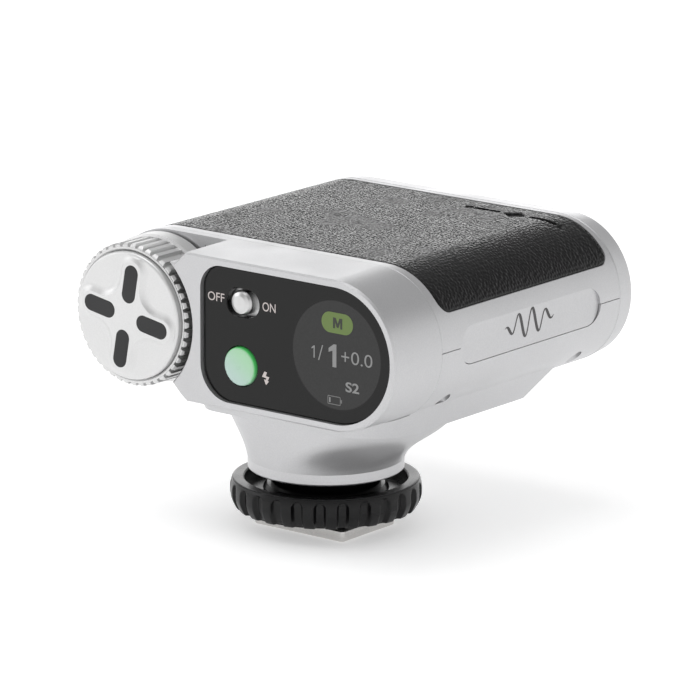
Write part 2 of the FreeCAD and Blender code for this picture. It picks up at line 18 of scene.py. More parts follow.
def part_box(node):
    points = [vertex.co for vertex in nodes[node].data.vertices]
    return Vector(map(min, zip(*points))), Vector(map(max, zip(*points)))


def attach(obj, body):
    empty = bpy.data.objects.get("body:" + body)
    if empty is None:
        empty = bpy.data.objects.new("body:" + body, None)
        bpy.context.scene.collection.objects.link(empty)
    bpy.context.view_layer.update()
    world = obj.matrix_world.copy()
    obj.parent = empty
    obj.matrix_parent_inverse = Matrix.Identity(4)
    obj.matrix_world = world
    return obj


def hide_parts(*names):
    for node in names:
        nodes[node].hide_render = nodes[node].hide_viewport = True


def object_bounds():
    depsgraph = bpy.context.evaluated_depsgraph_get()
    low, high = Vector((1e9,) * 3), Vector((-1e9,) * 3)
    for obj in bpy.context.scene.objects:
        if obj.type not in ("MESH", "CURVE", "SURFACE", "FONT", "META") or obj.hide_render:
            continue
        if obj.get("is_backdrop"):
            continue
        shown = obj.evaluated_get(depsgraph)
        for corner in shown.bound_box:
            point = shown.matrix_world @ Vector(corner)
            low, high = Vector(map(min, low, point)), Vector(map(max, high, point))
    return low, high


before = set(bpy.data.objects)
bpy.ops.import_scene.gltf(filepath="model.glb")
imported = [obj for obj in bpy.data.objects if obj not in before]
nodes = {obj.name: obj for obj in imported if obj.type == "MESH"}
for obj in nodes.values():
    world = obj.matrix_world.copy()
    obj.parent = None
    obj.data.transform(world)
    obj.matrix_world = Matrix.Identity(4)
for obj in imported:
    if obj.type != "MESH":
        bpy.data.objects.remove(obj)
cad_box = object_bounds()
MM = 0.001
print("carried-over parts:", len(nodes))

# %% [markdown]
# ## Where things are
# Every new piece is placed from the boxes of the parts it belongs to, so that it fits without any
# trial. The display is a circle at the right end of the glass, and the dial's axis is the middle of
# its cap.

# %% Axes and faces, in millimetres
def box_mm(name):
    """Lowest and highest corner of a carried-over part, in millimetres."""
    low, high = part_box(name)
    return np.array(low) / MM, np.array(high) / MM


glass_low, glass_high = box_mm("display_glass")
BODY_Z = (glass_low[2] + glass_high[2]) / 2
DISPLAY_X = glass_high[0] - (glass_high[2] - glass_low[2]) / 2
GLASS_Y = glass_low[1]
cap_low, cap_high = box_mm("dial_cap")
DIAL_X = (cap_low[0] + cap_high[0]) / 2
button_low, button_high = box_mm("test_button")
BUTTON_X = (button_low[0] + button_high[0]) / 2
BUTTON_Z = (button_low[2] + button_high[2]) / 2
print("display axis", round(DISPLAY_X, 2), round(BODY_Z, 2), "dial axis", round(DIAL_X, 2))

# %% [markdown]
# ## Small helpers
# Colours are written as the hex codes a paint shop would quote, and turned to the linear values that
# a renderer adds up. One function adds a shader node; one function turns arrays into a mesh.

# %% Colour, node and mesh helpers
def linear(code):
    """sRGB hex to linear RGBA: c/12.92 below 0.04045, otherwise ((c + 0.055)/1.055) to the power 2.4."""
    values = [int(code[i:i + 2], 16) / 255 for i in (1, 3, 5)]
    return tuple(c / 12.92 if c <= 0.04045 else ((c + 0.055) / 1.055) ** 2.4 for c in values) + (1.0,)


def add(tree, kind, inputs=None, **settings):
    """Adds a node. settings are its own properties; inputs maps a socket to a value or to an output."""
    made = tree.nodes.new(kind)
    for name, value in settings.items():
        setattr(made, name, value)
    for name, value in (inputs or {}).items():
        if isinstance(value, bpy.types.NodeSocket):
            tree.links.new(value, made.inputs[name])
        else:
            made.inputs[name].default_value = value
    return made


def node_of(tree, kind):
    """The first node of a kind in a tree."""
    return next(n for n in tree.nodes if n.bl_idname == kind)


def blank(name):
    """A new material with no nodes in it; returns the material and its node tree."""
    material = bpy.data.materials.new(name)
    material.use_nodes = True
    material.node_tree.nodes.clear()
    return material, material.node_tree


def around_axis(tree, place, x, z):
    """Object coordinates measured from the axis along Y at (x, z), and the distance from that axis."""
    centred = add(tree, "ShaderNodeMapping", {"Vector": place.outputs["Object"],
                                             "Location": (-x * MM, 0, -z * MM)})
    flat = add(tree, "ShaderNodeVectorMath", {0: centred.outputs["Vector"], 1: (1.0, 0.0, 1.0)},
               operation="MULTIPLY")
    radius = add(tree, "ShaderNodeVectorMath", {0: flat.outputs["Vector"]}, operation="LENGTH")
    return centred.outputs["Vector"], radius.outputs["Value"]


def mesh_piece(name, points_mm, faces, material, body, slot, smooth_angle=40.0):
    """Makes a mesh object from points in millimetres and a list of faces, and rides it on a body."""
    mesh = bpy.data.meshes.new(name)
    mesh.from_pydata((np.asarray(points_mm) * MM).tolist(), [], faces)
    mesh.validate()
    mesh.shade_smooth()
    mesh.set_sharp_from_angle(angle=math.radians(smooth_angle))
    mesh.materials.append(material)
    made = bpy.data.objects.new(name, mesh)
    bpy.context.scene.collection.objects.link(made)
    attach(made, body)
    print(name, len(mesh.vertices), "vertices")
    return made


def grid_faces(rows, columns, close_columns=False, start=0):
    """Quads of a grid of rows x columns points numbered row by row; optionally joined at the seam."""
    last = columns if close_columns else columns - 1
    i, j = np.meshgrid(np.arange(rows - 1), np.arange(last), indexing="ij")
    k = (j + 1) % columns
    quads = np.stack([i * columns + j, i * columns + k, (i + 1) * columns + k, (i + 1) * columns + j], -1)
    return (quads.reshape(-1, 4) + start).tolist()


def ease(t):
    """Smooth step: 3t^2 - 2t^3 with t held between 0 and 1."""
    t = np.clip(t, 0.0, 1.0)
    return t * t * (3 - 2 * t)


# %% [markdown]
# ## Moulded, painted and machined finishes
# Nearly every finish here is a base colour with a fine grain: paint has flakes, moulded plastic has
# the spark-eroded texture of its tool, and metal has the marks of the cutter. One recipe covers them.
# Two noise patterns are used: a fine one, whose size is the real grain, moves the surface and the
# colour a little, and a broad one, a few millimetres wide, changes the roughness, as handling does.

# %% Recipe for a grained solid colour
def finish(name, light, dark, roughness, grain_mm, relief_mm, metallic=0.0, stretch=(1, 1, 1), spread=0.06,
           **sockets):
    """Principled shader. Colour = mix(dark, light, fine noise); roughness = base +- spread x broad noise;
    bump height = relief x fine noise. Noise scale is 1000 / grain size, because a unit is a metre."""
    material, tree = blank(name)
    place = add(tree, "ShaderNodeTexCoord")
    mapped = add(tree, "ShaderNodeMapping", {"Vector": place.outputs["Object"], "Scale": stretch})
    fine = add(tree, "ShaderNodeTexNoise", {"Vector": mapped.outputs["Vector"], "Scale": 1000 / grain_mm,
                                           "Detail": 3.0, "Roughness": 0.6})
    broad = add(tree, "ShaderNodeTexNoise", {"Vector": place.outputs["Object"], "Scale": 1000 / 9.0,
                                            "Detail": 2.0})
    tint = add(tree, "ShaderNodeMix", {"Factor": fine.outputs["Fac"], "A": linear(dark), "B": linear(light)},
               data_type="RGBA")
    rough = add(tree, "ShaderNodeMapRange", {"Value": broad.outputs["Fac"], "From Min": 0.3, "From Max": 0.7,
                                            "To Min": roughness - spread, "To Max": roughness + spread})
    bump = add(tree, "ShaderNodeBump", {"Height": fine.outputs["Fac"], "Strength": 1.0,
                                       "Distance": relief_mm * MM})
    values = {"Base Color": tint.outputs["Result"], "Roughness": rough.outputs["Result"],
              "Normal": bump.outputs["Normal"], "Metallic": metallic}
    values.update(sockets)
    shader = add(tree, "ShaderNodeBsdfPrincipled", values)
    add(tree, "ShaderNodeOutputMaterial", {"Surface": shader.outputs["BSDF"]})
    return material


# %% [markdown]
# ## The casing finishes
# The casing is satin silver lacquer with aluminium flakes: it mirrors its surroundings only as broad
# soft gradients, with a sparkle finer than a quarter of a millimetre. The dial carries the same
# lacquer, one shade paler.

# %% Silver lacquers
# Flakes are about 0.05 mm across; 0.22 mm is as fine as the portrait can show.
LACQUER = ("#d0d0d1", "#bababc", 0.38, 0.22, 0.006)
LACQUER_METALLIC = 0.75
SILVER = finish("satin_silver_lacquer", *LACQUER, metallic=LACQUER_METALLIC, spread=0.04)
DIAL_SILVER = finish("pale_silver_lacquer", "#e2e2e2", "#d2d2d2", 0.42, 0.22, 0.005, metallic=0.7, spread=0.04)
KNOB_SILVER = finish("satin_nickel_plate", "#d6d6d6", "#c4c4c4", 0.30, 0.15, 0.003, metallic=1.0, spread=0.03)

# %% [markdown]
# ## Black plastics and rubber
# The lock ring is glass-filled nylon straight from a polished tool, so its ribs carry clear
# highlights. The stem is acetal, smoother and darker. The dial pads are silicone, dull and a little
# grey, because their skin scatters light.

# %% Blacks
RING_BLACK = finish("glass_filled_nylon_moulded", "#070708", "#030304", 0.25, 0.25, 0.005, IOR=1.36)
STEM_BLACK = finish("acetal_turned_black", "#050506", "#020203", 0.22, 0.30, 0.003, IOR=1.3)
PAD_RUBBER = finish("silicone_rubber_charcoal", "#29292a", "#202021", 0.62, 0.18, 0.006)
INNER_BLACK = finish("abs_moulded_black", "#1c1c1d", "#141415", 0.45, 0.30, 0.006)

# %% [markdown]
# ## Metals, boards and clear parts
# The foot is stamped steel with a bright nickel plate, rubbed along the way it slides. The boards,
# cell and capacitor are only seen when the casing is taken apart, and still get their own finishes.

# %% The rest of the finishes
FOOT_METAL = finish("stamped_steel_nickel_plated", "#dedcda", "#c9c7c5", 0.24, 0.5, 0.002, metallic=1.0,
                    stretch=(1.0, 0.12, 1.0))
SCREW_STEEL = finish("steel_zinc_plated_turned", "#8d8f93", "#6d6f73", 0.30, 0.2, 0.003, metallic=1.0)
SHAFT_STEEL = finish("steel_ground", "#c4c6c9", "#a9abae", 0.22, 0.2, 0.002, metallic=1.0)
BRASS = finish("brass_turned", "#c9a860", "#b08f4b", 0.28, 0.25, 0.003, metallic=1.0)
GOLD = finish("gold_plated_contact", "#e3b960", "#cfa34c", 0.22, 0.2, 0.002, metallic=1.0)
BOARD = finish("fibreglass_board_solder_mask", "#1f6a3c", "#174f2d", 0.35, 0.8, 0.01)
CHIP = finish("epoxy_moulded_black", "#222224", "#17171a", 0.55, 0.3, 0.006)
FERRITE = finish("ferrite_sintered", "#3b3a3c", "#29282a", 0.6, 0.4, 0.01)
CAPACITOR = finish("pet_sleeve_printed", "#22304c", "#1a263e", 0.35, 1.2, 0.004)
CELL_WRAP = finish("polyimide_wrap", "#b98a35", "#a27628", 0.30, 1.5, 0.006)
SWITCH = finish("pbt_moulded_dark", "#2b2b2d", "#1f1f21", 0.5, 0.3, 0.006)
SLEEVE = finish("silicone_sleeve_white", "#d8d6d0", "#c6c4be", 0.6, 0.4, 0.008)
REFLECTOR = finish("aluminium_anodised_bright", "#f2f2f2", "#dcdcdc", 0.18, 1.0, 0.004, metallic=1.0)
TUBE = finish("quartz_tube", "#f4f7fa", "#e6ebf0", 0.05, 2.0, 0.001,
              **{"Transmission Weight": 0.9, "IOR": 1.46})
LENS = finish("acrylic_fresnel_moulded", "#f6f8fa", "#eceff2", 0.07, 1.5, 0.002, spread=0.03,
              **{"Transmission Weight": 0.92, "IOR": 1.49})
SENSOR_RED = finish("polycarbonate_infrared_filter", "#4a0d12", "#360709", 0.10, 2.0, 0.002, spread=0.02,
                    **{"Transmission Weight": 0.25, "IOR": 1.585})
LED_GREEN = finish("epoxy_led_green", "#49d07a", "#37b866", 0.15, 1.0, 0.002)
print("materials so far:", len(bpy.data.materials))

# %% [markdown]
# ## Display glass
# A 1.2 mm sheet of glass, printed black on its back. The little screen behind it is slightly paler
# than the print even when it glows, so it shows as a grey disc. It could be a separate disc of mesh,
# but it lies behind the same polished face, so the disc is painted into the glass's own colour by its
# distance from the display's axis, and both share one gloss.

# %% Glass with the screen's disc behind it
SCREEN_R = 8.7


def display_glass_material():
    """Colour = screen grey where the distance from the display axis is under SCREEN_R, else print black."""
    material, tree = blank("float_glass_back_printed")
    place = add(tree, "ShaderNodeTexCoord")
    centred, radius = around_axis(tree, place, DISPLAY_X, BODY_Z)
    edge = add(tree, "ShaderNodeMapRange", {"Value": radius, "From Min": SCREEN_R * MM,
                                           "From Max": (SCREEN_R + 0.12) * MM, "To Min": 1.0, "To Max": 0.0})
    # Screen cells are 0.1 mm; drawn at 0.3 mm so that they show.
    cells = add(tree, "ShaderNodeTexNoise", {"Vector": place.outputs["Object"], "Scale": 1000 / 0.3})
    screen = add(tree, "ShaderNodeMix", {"Factor": cells.outputs["Fac"], "A": linear("#2a2a2a"),
                                        "B": linear("#343434")}, data_type="RGBA")
    tint = add(tree, "ShaderNodeMix", {"Factor": edge.outputs["Result"], "A": linear("#0b0b0b"),
                                      "B": screen.outputs["Result"]}, data_type="RGBA")
    smudge = add(tree, "ShaderNodeTexNoise", {"Vector": place.outputs["Object"], "Scale": 1000 / 12.0})
    rough = add(tree, "ShaderNodeMapRange", {"Value": smudge.outputs["Fac"], "To Min": 0.05, "To Max": 0.13})
    shader = add(tree, "ShaderNodeBsdfPrincipled", {"Base Color": tint.outputs["Result"], "IOR": 1.36,
                                                   "Roughness": rough.outputs["Result"]})
    add(tree, "ShaderNodeOutputMaterial", {"Surface": shader.outputs["BSDF"]})
    return material


GLASS = display_glass_material()

# %% [markdown]
# ## Test button
# A cap moulded in milky green polycarbonate with a lamp below it. The lamp's light is painted into the
# cap's colour: greener up and to the right and cooler at the lower left, with a painted bright green
# line along its thin rim where the light leaves, and a faint glow.

# %% Milky button
def button_material():
    """Painted lamp light: colour runs from cool mint to green along the diagonal; a painted bright rim line
    appears beyond 2.9 mm radius.
    """
    material, tree = blank("polycarbonate_milky_green_painted_glow")
    place = add(tree, "ShaderNodeTexCoord")
    centred, radius = around_axis(tree, place, BUTTON_X, BUTTON_Z)
    along = add(tree, "ShaderNodeVectorMath", {0: centred, 1: (0.6, 0.0, 0.8)}, operation="DOT_PRODUCT")
    # Painted lamp light: the cap is coloured greener towards the upper right, where the lamp under it lights it
    # more.
    lamp_glow_fade = add(tree, "ShaderNodeMapRange", {"Value": along.outputs["Value"], "From Min": -3 * MM,
                                           "From Max": 3 * MM}, interpolation_type="SMOOTHSTEP")
    face = add(tree, "ShaderNodeMix", {"Factor": lamp_glow_fade.outputs["Result"], "A": linear("#b0c8c1"),
                                      "B": linear("#9fcda6")}, data_type="RGBA")
    # Painted glow: a bright green line along the rim on the lit side.
    rim = add(tree, "ShaderNodeMapRange", {"Value": radius, "From Min": 2.86 * MM, "From Max": 3.06 * MM})
    painted_rim_glow = add(tree, "ShaderNodeMath", {0: rim.outputs["Result"], 1: lamp_glow_fade.outputs["Result"]},
              operation="MULTIPLY")
    tint = add(tree, "ShaderNodeMix", {"Factor": painted_rim_glow.outputs["Value"], "A": face.outputs["Result"],
                                      "B": linear("#4fc766")}, data_type="RGBA")
    # Frosting of the tool, 0.2 mm.
    frost = add(tree, "ShaderNodeTexNoise", {"Vector": place.outputs["Object"], "Scale": 1000 / 0.2})
    bump = add(tree, "ShaderNodeBump", {"Height": frost.outputs["Fac"], "Distance": 0.002 * MM})
    shader = add(tree, "ShaderNodeBsdfPrincipled", {
        "Base Color": tint.outputs["Result"], "Roughness": 0.35, "IOR": 1.585, "Normal": bump.outputs["Normal"],
        "Emission Color": tint.outputs["Result"], "Emission Strength": 0.06})
    add(tree, "ShaderNodeOutputMaterial", {"Surface": shader.outputs["BSDF"]})
    return material


BUTTON = button_material()

# %% [markdown]
# ## Painted shade in the pocket round the dial
# The wall of the round pocket that the dial turns in is painted near-black and not metallic: painted
# shade for the dark gap behind the dial's teeth, so the teeth stand out against it. The mask is a
# distance from the dial's axis, and only holds on the side towards the display, where there is a wall.

# %% Bezel lacquer with painted shade in the pocket
POCKET_R = 13.28
POCKET_SHADE_SIDE = 7.5


def lacquer_with_painted_pocket_shade():
    """Silver lacquer, but painted black shade within POCKET_R of the dial's axis and beyond the pocket's side
    limit along X.
    """
    material = finish("satin_silver_lacquer_painted_pocket_shade", *LACQUER, spread=0.04)
    tree = material.node_tree
    shader = node_of(tree, "ShaderNodeBsdfPrincipled")
    lacquer = shader.inputs["Base Color"].links[0].from_socket
    place = add(tree, "ShaderNodeTexCoord")
    centred, radius = around_axis(tree, place, DIAL_X, BODY_Z)
    outside = add(tree, "ShaderNodeMapRange", {"Value": radius, "From Min": POCKET_R * MM,
                                              "From Max": (POCKET_R + 0.06) * MM})
    sideways = add(tree, "ShaderNodeSeparateXYZ", {"Vector": centred})
    clear_of_shade = add(tree, "ShaderNodeMapRange", {"Value": sideways.outputs["X"], "From Min": POCKET_SHADE_SIDE * MM,
                                                "From Max": (POCKET_SHADE_SIDE + 0.1) * MM,
                                                "To Min": 1.0, "To Max": 0.0})
    lacquer_not_shaded = add(tree, "ShaderNodeMath", {0: outside.outputs["Result"], 1: clear_of_shade.outputs["Result"]},
                  operation="MAXIMUM")
    # Painted shade: near-black, non-metallic colour on the pocket wall, where the gap behind the dial's teeth
    # lies in shadow.
    tint = add(tree, "ShaderNodeMix", {"Factor": lacquer_not_shaded.outputs["Value"], "A": linear("#0b0b0c"),
                                      "B": lacquer}, data_type="RGBA")
    metal = add(tree, "ShaderNodeMath", {0: lacquer_not_shaded.outputs["Value"], 1: LACQUER_METALLIC},
                operation="MULTIPLY")
    tree.links.new(tint.outputs["Result"], shader.inputs["Base Color"])
    tree.links.new(metal.outputs["Value"], shader.inputs["Metallic"])
    return material


BEZEL_SILVER_PAINTED_SHADE = lacquer_with_painted_pocket_shade()

# %% [markdown]
# ## Dressing the carried-over parts
# Each part keeps its shape and takes a finish in the material slots it came with.

# %% Finish of each part
FINISHES = {
    # The rear bezel takes the lacquer with the painted shade in the dial's pocket.
    BEZEL_SILVER_PAINTED_SHADE: ["rear_bezel"],
    SILVER: ["top_shell", "bottom_shell", "front_bezel"],
    DIAL_SILVER: ["dial_knob", "dial_cap"],
    KNOB_SILVER: ["switch_knob"],
    PAD_RUBBER: ["dial_pads"],
    RING_BLACK: ["lock_ring", "pressure_washer"],
    STEM_BLACK: ["threaded_stem"],
    INNER_BLACK: ["leather_cover", "contact_carrier", "tact_plunger"],
    FOOT_METAL: ["foot_plate"],
    SCREW_STEEL: ["shell_screws", "neck_screws", "foot_screws", "contact_spring"],
    SHAFT_STEEL: ["dial_shaft", "usb_socket"],
    BRASS: ["encoder_bushing", "encoder_nut"],
    GOLD: ["contact_pin"],
    BOARD: ["display_board", "main_board", "power_board"],
    CHIP: ["display_module", "photodiode", "tact_switch"],
    FERRITE: ["trigger_transformer"],
    CAPACITOR: ["main_capacitor"],
    CELL_WRAP: ["battery"],
    SWITCH: ["slide_switch", "dial_encoder"],
    SLEEVE: ["tube_sleeves"],
    REFLECTOR: ["reflector"],
    TUBE: ["flash_tube"],
    LENS: ["fresnel_lens"],
    SENSOR_RED: ["sensor_window"],
    LED_GREEN: ["status_led"],
    GLASS: ["display_glass"],
    BUTTON: ["test_button"],
}
dressed = set()
for material, names in FINISHES.items():
    for name in names:
        for place in nodes[name].material_slots:
            place.material = material
        dressed.add(name)
print("dressed", len(dressed), "left plain:", sorted(set(nodes) - dressed))

# %% [markdown]
# ## Leather cover
# The cover is embossed PVC on cloth, glued into a shallow pocket over the top and both shoulders. Its
# pebbles are about 0.6 mm across, with furrows a tenth of a millimetre deep. A bump pattern alone
# would leave its outline smooth, so the pebbles are real relief: a cellular pattern is worked out for
# every point of a fine grid, and the grid is wrapped over the body's outline.

# %% Cellular pattern for the pebbles
def cells(u, v, size, rng, stretch=1.25, jitter=0.42):
    """Distances from each point to its nearest and second nearest seed; one jittered seed per square cell."""
    a = u / (size * stretch)
    b = v / size
    low_a, low_b = int(np.floor(a.min())) - 2, int(np.floor(b.min())) - 2
    count_a, count_b = int(np.ceil(a.max())) + 3 - low_a, int(np.ceil(b.max())) + 3 - low_b
    shift = 0.5 + rng.uniform(-jitter, jitter, (2, count_a, count_b))
    home_a, home_b = np.floor(a).astype(int) - low_a, np.floor(b).astype(int) - low_b
    near = np.full(a.shape, 9.0)
    second = np.full(a.shape, 9.0)
    for da in (-1, 0, 1):
        for db in (-1, 0, 1):
            i, j = home_a + da, home_b + db
            gap = np.hypot(i + low_a + shift[0, i, j] - a, j + low_b + shift[1, i, j] - b)
            second = np.minimum(second, np.maximum(near, gap))
            near = np.minimum(near, gap)
    return near, second


# %% Shape of the leather cover
leather_low, leather_high = box_mm("leather_cover")
LEATHER_R = leather_high[2] - BODY_Z
HALF_FLAT = (DISPLAY_X - DIAL_X) / 2
MIDDLE_X = (DISPLAY_X + DIAL_X) / 2
LEATHER_MID_Y = (leather_low[1] + leather_high[1]) / 2
HALF_V = (leather_high[1] - leather_low[1]) / 2
HALF_U = HALF_FLAT + LEATHER_R * math.acos((leather_low[2] - BODY_Z) / LEATHER_R)
CORNER = 2.15
EDGE_ROLL = 0.45
PEBBLE, FURROW, STAMP = 0.60, 0.11, 0.34


def wrap(u, v, height):
    """Carries (arc length u, depth v) over the body: flat between the two axes, round beyond them."""
    turn = (np.abs(u) - HALF_FLAT).clip(0) / LEATHER_R * np.sign(u)
    flat = np.clip(u, -HALF_FLAT, HALF_FLAT)
    r = LEATHER_R + height
    return np.stack([MIDDLE_X + flat + r * np.sin(turn), LEATHER_MID_Y + v, BODY_Z + r * np.cos(turn)], -1)


def spaced(half, step, edge=(0.0, 0.05, 0.11, 0.19, 0.30, 0.44)):
    """Positions from -half to half: close together in the rolled edge and evenly spaced between."""
    inner = half - edge[-1]
    even = np.linspace(-inner, inner, int(round(2 * inner / step)) + 1)
    return np.concatenate([-half + np.array(edge[:-1]), even, half - np.array(edge[:-1])[::-1]])


def border_distance(u, v):
    """How far a point lies inside a rectangle with rounded corners."""
    a, b = np.abs(u) - (HALF_U - CORNER), np.abs(v) - (HALF_V - CORNER)
    outside = np.hypot(a.clip(0), b.clip(0))
    return CORNER - outside - np.minimum(np.maximum(a, b), 0)


def ornament(u, v):
    """Depth, 0 to 1, of a pressed-in line with a lozenge in its middle, near the far edge of the cover."""
    a = np.abs(u - (12.4 - MIDDLE_X))
    b = np.abs(v - (34.2 - LEATHER_MID_Y))
    lozenge = 1.0 - ease((a / 2.4 + b / 1.9 - 0.86) / 0.16)
    line = (1 - ease((b - 0.34) / 0.16)) * (1 - ease((a - 8.2) / 0.2)) * ease((a - 3.0) / 0.2)
    dot = 1 - ease((np.hypot(a - 9.4, b) - 0.6) / 0.16)
    return np.maximum(np.maximum(lozenge, line), dot)


def leather_relief(u, v):
    """Pebble height: the gap between the two nearest seeds, rounded off, with furrows 0.11 mm deep."""
    rng = np.random.default_rng(7)
    bend_u = 0.14 * np.sin(u / 1.9 + 1.3 * np.sin(v / 2.3))
    bend_v = 0.14 * np.sin(v / 1.7 + 1.1 * np.sin(u / 2.9))
    near, second = cells(u + bend_u, v + bend_v, PEBBLE, rng)
    pebble = ease((second - near) / 0.40) * (1 - 0.35 * (near / 0.75).clip(0, 1) ** 2)
    inside = border_distance(u, v)
    roll = EDGE_ROLL * (1 - np.sqrt(1 - (1 - np.clip(inside / 0.5, 0, 1)) ** 2))
    press = ornament(u, v)
    return -FURROW * (1 - pebble) * (1 - 0.8 * press) - STAMP * press - roll


def leather_cover():
    """Front grid with relief, a short wall round it, and a plain inner side with fewer columns."""
    step = 0.2
    s = spaced(HALF_U, step)
    while (len(s) - 1) % 6:
        s = np.insert(s, len(s) // 2, (s[len(s) // 2 - 1] + s[len(s) // 2]) / 2)
    straight = spaced(HALF_V, step)
    straight = straight[np.abs(straight) < HALF_V - CORNER]
    round_end = HALF_V - CORNER + CORNER * np.sin(np.radians(np.linspace(0, 90, 15)))
    t = np.concatenate([-round_end[::-1], straight, round_end])
    lost = CORNER - np.sqrt(CORNER ** 2 - (np.abs(t) - (HALF_V - CORNER)).clip(0).clip(max=CORNER) ** 2)
    u = s[None, :] * ((HALF_U - lost) / HALF_U)[:, None]
    v = np.repeat(t[:, None], len(s), 1)
    front = wrap(u, v, leather_relief(u, v))
    back = wrap(u, v, np.full_like(u, -0.78))
    rows, columns = u.shape
    coarse = np.arange(0, columns, 6)
    points = np.concatenate([front.reshape(-1, 3), back[0], back[-1], back[1:-1][:, coarse].reshape(-1, 3)])
    faces = [f[::-1] for f in grid_faces(rows, columns)]
    first, last, inner = rows * columns, rows * columns + columns, rows * columns + 2 * columns
    width = len(coarse)
    j = np.arange(columns - 1)
    faces += np.stack([j, first + j, first + j + 1, j + 1], -1)[:, ::-1].tolist()
    end = (rows - 1) * columns
    faces += np.stack([end + j + 1, last + j + 1, last + j, end + j], -1)[:, ::-1].tolist()
    faces += grid_faces(rows - 2, width, start=inner)
    for k in range(width - 1):
        fine = np.arange(6 * k, 6 * k + 7)
        faces.append((first + fine).tolist() + [inner + k + 1, inner + k])
        top = inner + (rows - 3) * width
        faces.append((last + fine[::-1]).tolist() + [top + k, top + k + 1])
    for side, column in ((0, 0), (width - 1, columns - 1)):
        edge_front = np.arange(rows) * columns + column
        edge_back = np.concatenate([[first + column], inner + np.arange(rows - 2) * width + side,
                                    [last + column]])
        walls = np.stack([edge_front[:-1], edge_front[1:], edge_back[1:], edge_back[:-1]], -1)
        faces += (walls if side == 0 else walls[:, ::-1]).tolist()
    return points, faces


# %% [markdown]
# The cover's own finish is matt black PVC: dark when faced, and greyer at a low angle, where the
# rough tops of the pebbles scatter the light. Only the wrinkles finer than a pebble are left to bump.

# %% Leather material and piece
LEATHER = finish("embossed_pvc_leather", "#070708", "#030304", 0.27, 0.16, 0.004, spread=0.01,
                 **{"IOR": 1.38, "Sheen Weight": 0.40, "Sheen Roughness": 0.15})
FOIL = finish("hot_stamped_black_foil", "#050505", "#020202", 0.55, 0.16, 0.002, IOR=1.15)
cover = mesh_piece("leather_skin", *leather_cover(), LEATHER, "body", "leather_black", 60)
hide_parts("leather_cover")

# %% [markdown]
# The ornament is stamped with a hot die and a black foil, which leaves it smooth, sunk and dull. The
# faces inside the stamped outline take the foil instead of the grained finish.

# %% Foil on the stamped faces
cover.data.materials.append(FOIL)
middles = np.empty(len(cover.data.polygons) * 3)
cover.data.polygons.foreach_get("center", middles)
middles = middles.reshape(-1, 3) / MM
on_top = middles[:, 2] > leather_high[2] - 0.7
stamped = on_top & (ornament(middles[:, 0] - MIDDLE_X, middles[:, 1] - LEATHER_MID_Y) > 0.4)
cover.data.polygons.foreach_set("material_index", stamped.astype(np.int32))
print("stamped faces:", int(stamped.sum()))

# %% [markdown]
# ## Dial cap
# The cap is moulded with a raised cross for the fingertip. The cross has a crisp upper edge and runs
# out into the disc in a hollow curve, which no simple extrusion gives. So the face is a height field
# on rings round the axis: the height falls off with the distance outside the cross.

# %% Height of the cross
CROSS_ARM, CROSS_LENGTH, CROSS_HOLLOW = 1.95, 9.5, 4.0
CROSS_TURN = math.radians(-10.0)
DISC_Y, CROSS_Y = cap_low[1] + 0.6, cap_low[1] + 0.06


def cross_distance(x, z):
    """Distance outside a four-armed cross: folded to one arm, then a stadium or the hollow corner."""
    a = x * math.cos(CROSS_TURN) + z * math.sin(CROSS_TURN)
    b = -x * math.sin(CROSS_TURN) + z * math.cos(CROSS_TURN)
    along, across = np.maximum(np.abs(a), np.abs(b)), np.minimum(np.abs(a), np.abs(b))
    hub = CROSS_ARM + CROSS_HOLLOW
    corner = CROSS_HOLLOW - np.hypot(hub - along, hub - across)
    tip = np.hypot((along - (CROSS_LENGTH - CROSS_ARM)).clip(0), across) - CROSS_ARM
    return np.where(along < hub, corner, tip)


def dial_cap():
    """Rings from the centre outwards: disc with the cross, rounded edge, side wall, closed back."""
    turns = 480
    angle = np.linspace(0, 2 * math.pi, turns, endpoint=False)
    face_r = np.linspace(0.12, 10.0, 124)
    edge = np.linspace(0, 90, 9)[1:]
    radius = np.concatenate([face_r, 10.0 + 0.55 * np.sin(np.radians(edge)), [10.55]])
    drop = np.concatenate([0 * face_r, 0.45 * (1 - np.cos(np.radians(edge))), [1.8]])
    r, a = np.meshgrid(radius, angle, indexing="ij")
    x, z = r * np.cos(a), r * np.sin(a)
    t = np.clip((cross_distance(x, z) + 0.04) / 1.25, 0, 1)
    slope = (1 - t) ** 1.9
    y = DISC_Y + drop[:, None] - (DISC_Y - CROSS_Y) * slope * (drop[:, None] == 0)
    points = np.stack([DIAL_X + x, y, BODY_Z + z], -1).reshape(-1, 3)
    faces = grid_faces(len(radius), turns, close_columns=True)
    faces.append(list(range(turns))[::-1])
    outer = (len(radius) - 1) * turns
    faces.append(list(range(outer, outer + turns)))
    return points, faces


cap = mesh_piece("dial_cap_moulded", *dial_cap(), DIAL_SILVER, "dial", "dial_silver", 35)
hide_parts("dial_cap")

# %% [markdown]
# ## Dial pads
# Four silicone inlays, one on each arm. Each is a stadium whose edge is rounded over: rings of the
# same stadium, smaller and smaller, rise to a flat top.

# %% Rubber pads
def rotated(x, z, turn):
    """Turns points in the dial's plane."""
    return x * math.cos(turn) - z * math.sin(turn), x * math.sin(turn) + z * math.cos(turn)


